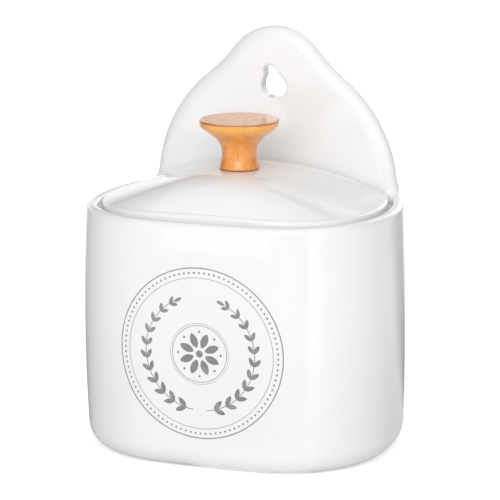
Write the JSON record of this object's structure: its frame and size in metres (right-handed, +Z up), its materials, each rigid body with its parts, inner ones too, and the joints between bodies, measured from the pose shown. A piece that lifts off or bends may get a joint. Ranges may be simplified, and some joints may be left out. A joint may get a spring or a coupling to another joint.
{
  "type": "salt cellar",
  "caption": "Wall-hung ceramic salt box with a tall pierced back plate and a loose vaulted lid lifted by a turned wooden knob.",
  "frame": {"origin": "middle of the foot, in the plane that the foot stands on", "axes": "+X to the right seen from the front, +Y towards the wall, +Z up"},
  "size_m": [0.14, 0.096, 0.18],
  "materials": {
    "white_glaze": "glossy white glaze over fired clay",
    "varnished_bamboo": "turned bamboo under clear gloss varnish",
    "screw_steel": "zinc-plated steel",
    "seal_rubber": "translucent grey rubber",
    "insert_brass": "plain turned brass"
  },
  "bodies": {
    "pot": {"pot": "white_glaze"},
    "lid": {"lid": "white_glaze", "knob": "varnished_bamboo", "knob_screw": "screw_steel", "knob_washer": "screw_steel", "knob_seal": "seal_rubber", "knob_insert": "insert_brass"}
  },
  "joints": [
    {"name": "lid_lift", "type": "slide", "parent": "pot", "child": "lid", "axis": [0, 0, 1], "range_m": [0, 0.1]}
  ]
}
